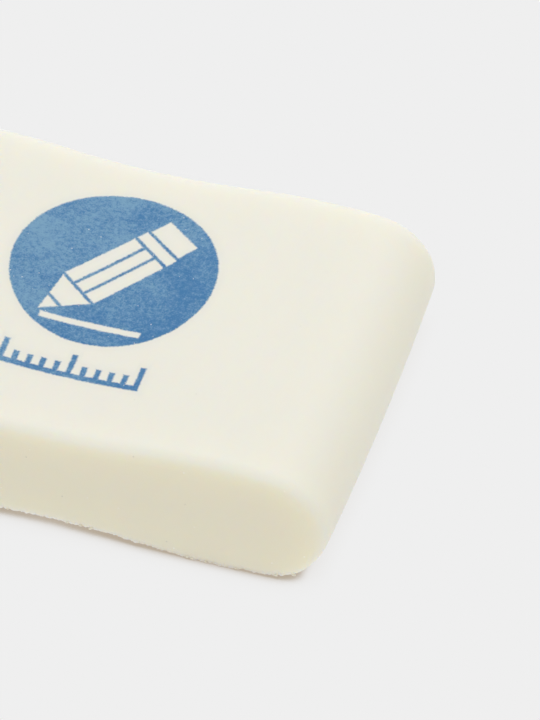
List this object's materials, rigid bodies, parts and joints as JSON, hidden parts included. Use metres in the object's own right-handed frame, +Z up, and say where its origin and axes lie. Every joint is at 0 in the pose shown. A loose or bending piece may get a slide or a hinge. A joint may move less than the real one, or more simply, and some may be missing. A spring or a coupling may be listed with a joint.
{
  "type": "rubber eraser",
  "caption": "Soft cream rubber eraser: a flat block, dished at the waist, with full round ends, flat cut sides and a blue print.",
  "frame": {"origin": "middle of the footprint, on the surface that the two lower crowns rest on", "axes": "+X along the length, +Y across the width from one cut side to the other, +Z up through the thickness"},
  "size_m": [0.042, 0.0274, 0.01],
  "materials": {
    "rubber": "matte"
  },
  "bodies": {
    "root": {"eraser": "rubber"}
  },
  "joints": []
}
